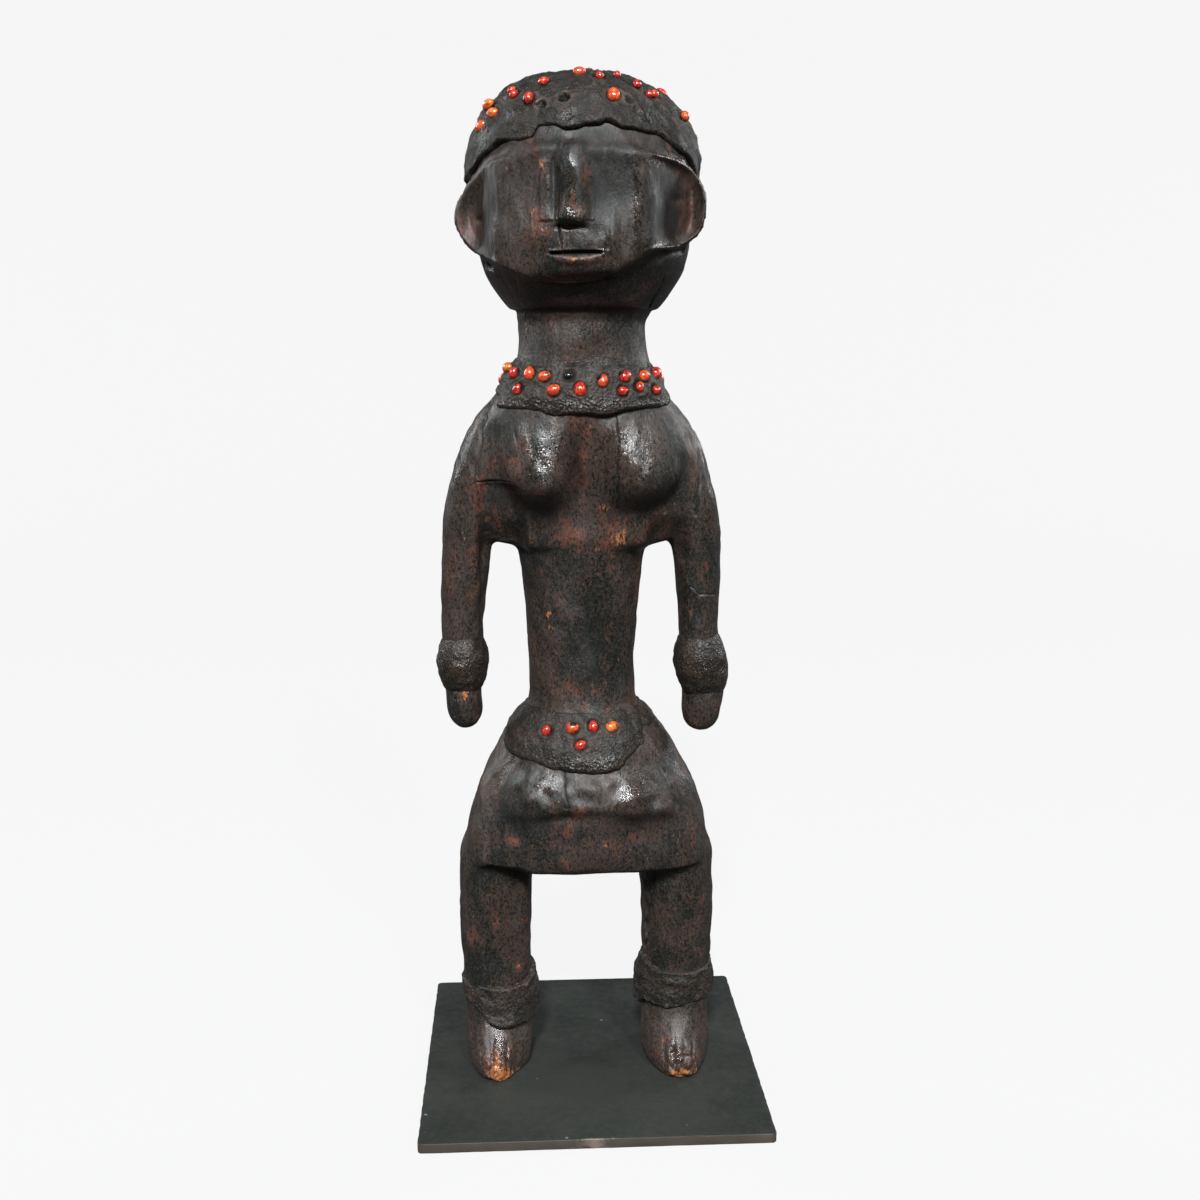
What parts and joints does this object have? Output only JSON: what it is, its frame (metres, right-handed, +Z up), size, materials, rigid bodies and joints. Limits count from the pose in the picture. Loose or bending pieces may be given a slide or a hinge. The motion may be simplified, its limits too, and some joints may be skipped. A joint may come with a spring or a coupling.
{
  "type": "carved fertility doll on a stand",
  "caption": "Carved wooden standing figure with paste ornaments set with red seeds, lifted off two pins on a square steel plate.",
  "frame": {"origin": "centre of the steel plate's underside, on the surface the stand rests on", "axes": "+Z up along the figure, -Y the way the figure faces, +X the figure's own left"},
  "size_m": [0.14, 0.14, 0.4107],
  "materials": {
    "dark_wood": "dark rubbed patina",
    "resin_paste": "matt, lumpy resin and wax paste",
    "seed": "glossy seed coat with a black eye",
    "painted_steel": "satin black paint",
    "pin_steel": "ground"
  },
  "bodies": {
    "stand": {"base_plate": "painted_steel", "left_mount_pin": "pin_steel", "right_mount_pin": "pin_steel"},
    "figure": {"carved_figure": "dark_wood", "crown_cap": "resin_paste", "neck_collar": "resin_paste", "hip_girdle": "resin_paste", "left_wrist_cuff": "resin_paste", "right_wrist_cuff": "resin_paste", "left_ankle_cuff": "resin_paste", "right_ankle_cuff": "resin_paste", "girdle_seed_1": "seed", "girdle_seed_2": "seed", "girdle_seed_3": "seed", "girdle_seed_4": "seed", "girdle_seed_5": "seed", "collar_seed_1": "seed", "collar_seed_2": "seed", "collar_seed_3": "seed", "collar_seed_4": "seed", "collar_seed_5": "seed", "collar_seed_6": "seed", "collar_seed_7": "seed", "collar_seed_8": "seed", "collar_seed_9": "seed", "collar_seed_10": "seed", "collar_seed_11": "seed", "collar_seed_12": "seed", "collar_seed_13": "seed", "collar_seed_14": "seed", "collar_seed_15": "seed", "collar_seed_16": "seed", "collar_seed_17": "seed", "collar_seed_18": "seed", "collar_seed_19": "seed", "collar_seed_20": "seed", "collar_seed_21": "seed", "collar_seed_22": "seed", "collar_seed_23": "seed", "collar_seed_24": "seed", "crown_seed_1": "seed", "crown_seed_2": "seed", "crown_seed_3": "seed", "crown_seed_4": "seed", "crown_seed_5": "seed", "crown_seed_6": "seed", "crown_seed_7": "seed", "crown_seed_8": "seed", "crown_seed_9": "seed", "crown_seed_10": "seed", "crown_seed_11": "seed", "crown_seed_12": "seed", "crown_seed_13": "seed", "crown_seed_14": "seed", "crown_seed_15": "seed", "crown_seed_16": "seed", "crown_seeds_rear": "seed"}
  },
  "joints": [
    {"name": "figure_lift", "type": "slide", "parent": "stand", "child": "figure", "axis": [0, 0, 1], "range_m": [0, 0.04]}
  ]
}
